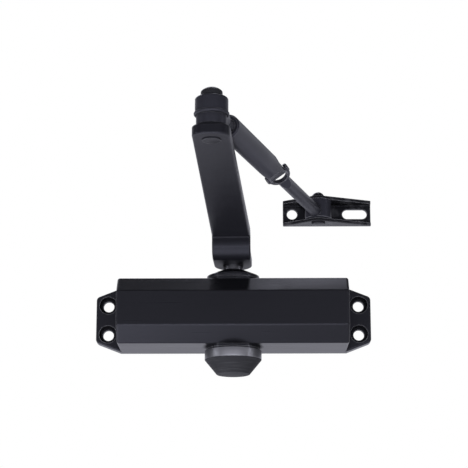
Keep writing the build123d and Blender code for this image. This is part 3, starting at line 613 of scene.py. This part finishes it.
class CLOSER_OT_hardware(bpy.types.Operator):
    """Finishes of caps, pins, screws and inner parts"""

    bl_idname = "closer.hardware"
    bl_label = "Finish the hardware"

    def execute(self, context):
        colours = context.scene.closer_paint
        size = context.scene.closer_size
        black = paint("black_finish", colours.hardware, gloss=0.32, grain=1800.0, depth=0.00003)
        for name in ("arm_washer", "elbow_pin", "elbow_washer", "bracket_rivet"):
            rounded(name, black, size.pin_edge)
        take_part(hexagon_screw(size), "arm_screw", black)
        finish_nodes(black, "clevis_pin")

        moulded = paint(
            "cover_plastic",
            colours.cover,
            gloss=0.45,
            grain=300.0,
            depth=0.00002,
            edge=0.02,
            shine=0.015,
            glint_mottle=0.012,
            **TURNED,
        )
        cover = rounded("pinion_cap", moulded, size.cap_edge)
        cover.data.materials.append(metal("cover_rim", colours.rim, gloss=0.40, **TURNED))
        for face in cover.data.polygons:
            face.material_index = int(abs(face.normal.z) < RIM_TILT)
        cap = paint(
            "cap_plastic", colours.plastic, gloss=0.45, grain=2600.0, depth=0.00003, edge=0.02
        )
        rounded("elbow_cap", cap, size.cap_edge)

        finish_nodes(metal("oiled_steel", colours.dark_steel, gloss=0.35), "spindle")
        steel = metal("bare_steel", colours.steel, gloss=0.3)
        finish_nodes(steel, "piston", "check_valve_seat", "check_valve_ball", "thrust_washers")
        spring_coil(steel)
        bronze = metal("bronze", colours.bronze, gloss=0.35)
        finish_nodes(bronze, "upper_bearing", "lower_bearing", "elbow_bush")
        finish_nodes(bronze, "closing_speed_valve", "latching_speed_valve")
        rubber = paint("rubber", colours.rubber, gloss=0.6, grain=1500.0, depth=0.00003, edge=0.0)
        finish_nodes(rubber, "end_plug_o_rings", "valve_o_rings")
        finish_nodes(rubber, "upper_shaft_seal", "lower_shaft_seal")
        return {"FINISHED"}


def seen_rays(tree):
    """1 for rays that show the background: from the camera, in reflections and through glass."""
    rays = tree.nodes.new("ShaderNodeLightPath").outputs
    shown = math_node(tree, "ADD", rays["Is Camera Ray"], rays["Is Glossy Ray"])
    return math_node(tree, "MINIMUM", math_node(tree, "ADD", shown, rays["Is Transmission Ray"]), 1.0)


def camera_rays(tree):
    """1 for rays that come straight from the camera."""
    return tree.nodes.new("ShaderNodeLightPath").outputs["Is Camera Ray"]


def cool_white(tree, tint):
    """White for the camera, and the lamps' tint for all other rays."""
    return mixed_colour(tree, camera_rays(tree), tint, WHITE)


def fade(tree, value, start, end, low):
    """1 up to a start value, then down to low at the end value."""
    node = tree.nodes.new("ShaderNodeMapRange")
    node.interpolation_type = "SMOOTHSTEP"
    node.inputs["From Min"].default_value = start
    node.inputs["From Max"].default_value = end
    node.inputs["To Min"].default_value = 1.0
    node.inputs["To Max"].default_value = low
    tree.links.new(value, node.inputs["Value"])
    return node.outputs["Result"]


def dark_walls(tree):
    """1 for what the camera sees, and less overhead and at both sides for all other rays."""
    split = tree.nodes.new("ShaderNodeSeparateXYZ")
    way = tree.nodes.new("ShaderNodeTexCoord").outputs["Generated"]
    tree.links.new(way, split.inputs["Vector"])
    ceiling = fade(tree, split.outputs["Z"], *CEILING_EDGES, WALL_LEVEL)
    aside = math_node(tree, "ABSOLUTE", split.outputs["X"])
    sides = fade(tree, aside, *SIDE_EDGES, WALL_LEVEL)
    walls = math_node(tree, "MULTIPLY", ceiling, sides)
    return math_node(tree, "MAXIMUM", walls, camera_rays(tree))


def pale_floor(tint):
    """Floor that is white to the camera, and lit and shaded by the lamps."""
    bpy.ops.mesh.primitive_plane_add(size=FLOOR_SIZE, location=(0.0, 0.0, FLOOR_HEIGHT))
    floor = bpy.context.object
    floor.name = "floor"
    material, tree, shader = start_material("pale_floor")
    shader.inputs["Base Color"].default_value = FLOOR_COLOUR
    shader.inputs["Roughness"].default_value = FLOOR_ROUGHNESS
    tree.links.new(cool_white(tree, tint), shader.inputs["Emission Color"])
    mirrored = math_node(tree, "MULTIPLY", seen_rays(tree), FLOOR_MIRRORED)
    seen = math_node(tree, "MULTIPLY", camera_rays(tree), FLOOR_SEEN)
    tree.links.new(math_node(tree, "MAXIMUM", mirrored, seen), shader.inputs["Emission Strength"])
    floor.data.materials.append(material)


def white_surroundings(level, tint):
    """World that is white to the camera, and a soft light with darker walls to the object."""
    world = bpy.data.worlds.new("white_surroundings")
    world.use_nodes = True
    bpy.context.scene.world = world
    tree = world.node_tree
    background = tree.nodes["Background"]
    tree.links.new(cool_white(tree, tint), background.inputs["Color"])
    shown = spread(tree, seen_rays(tree), level, 1.0)
    strength = math_node(tree, "MULTIPLY", shown, dark_walls(tree))
    tree.links.new(strength, background.inputs["Strength"])


def area_lamp(name, place, aim, size, energy, tint):
    """Rectangular lamp at a place, aimed at a point and hidden from the camera."""
    bpy.ops.object.light_add(type="AREA", location=place)
    lamp = bpy.context.object
    lamp.name = name
    lamp.data.shape = "RECTANGLE"
    lamp.data.size, lamp.data.size_y = size
    lamp.data.energy = energy
    lamp.data.color = tint
    lamp.visible_camera = False
    way = Vector(place) - Vector(aim)
    lamp.rotation_euler = way.to_track_quat("Z", "Y").to_euler()


class CLOSER_OT_stage(bpy.types.Operator):
    """Pale floor, white surroundings, soft lamps and the camera"""

    bl_idname = "closer.stage"
    bl_label = "Set the stage"

    def execute(self, context):
        light = context.scene.closer_light
        context.scene.view_settings.view_transform = "Standard"
        pale_floor(light.lamp)
        white_surroundings(light.world, light.lamp)
        for name, strength, place, aim, size in LAMPS:
            area_lamp(name, place, aim, size, getattr(light, strength), light.lamp)
        bpy.ops.object.camera_add(location=CAMERA_PLACE, rotation=CAMERA_TURN)
        camera = context.object
        camera.name = "photo_camera"
        camera.data.lens = light.lens
        camera.data.sensor_width = SENSOR_WIDTH
        context.scene.camera = camera
        return {"FINISHED"}


class CLOSER_PT_panel(bpy.types.Panel):
    """Sidebar panel that lists the sizes, the finishes, the lamps and the steps"""

    bl_idname = "CLOSER_PT_panel"
    bl_label = "Door closer"
    bl_space_type = "VIEW_3D"
    bl_region_type = "UI"
    bl_category = "Closer"

    def draw(self, context):
        scene = context.scene
        for settings in (scene.closer_size, scene.closer_paint, scene.closer_light):
            box = self.layout.box()
            for label in settings.__annotations__:
                box.prop(settings, label)
        for step in STEPS:
            self.layout.operator(step.bl_idname)


STEPS = (
    CLOSER_OT_casting,
    CLOSER_OT_arms,
    CLOSER_OT_bracket,
    CLOSER_OT_hardware,
    CLOSER_OT_stage,
)
CLASSES = (CloserSize, CloserPaint, CloserLight, *STEPS, CLOSER_PT_panel)


def register():
    for cls in CLASSES:
        bpy.utils.register_class(cls)
    bpy.types.Scene.closer_size = PointerProperty(type=CloserSize)
    bpy.types.Scene.closer_paint = PointerProperty(type=CloserPaint)
    bpy.types.Scene.closer_light = PointerProperty(type=CloserLight)


def unregister():
    del bpy.types.Scene.closer_light
    del bpy.types.Scene.closer_paint
    del bpy.types.Scene.closer_size
    for cls in reversed(CLASSES):
        bpy.utils.unregister_class(cls)


def main():
    register()
    bpy.ops.object.select_all(action="DESELECT")
    bpy.ops.closer.casting()
    bpy.ops.closer.arms()
    bpy.ops.closer.bracket()
    bpy.ops.closer.hardware()
    bpy.ops.closer.stage()


if __name__ == "__main__":
    main()
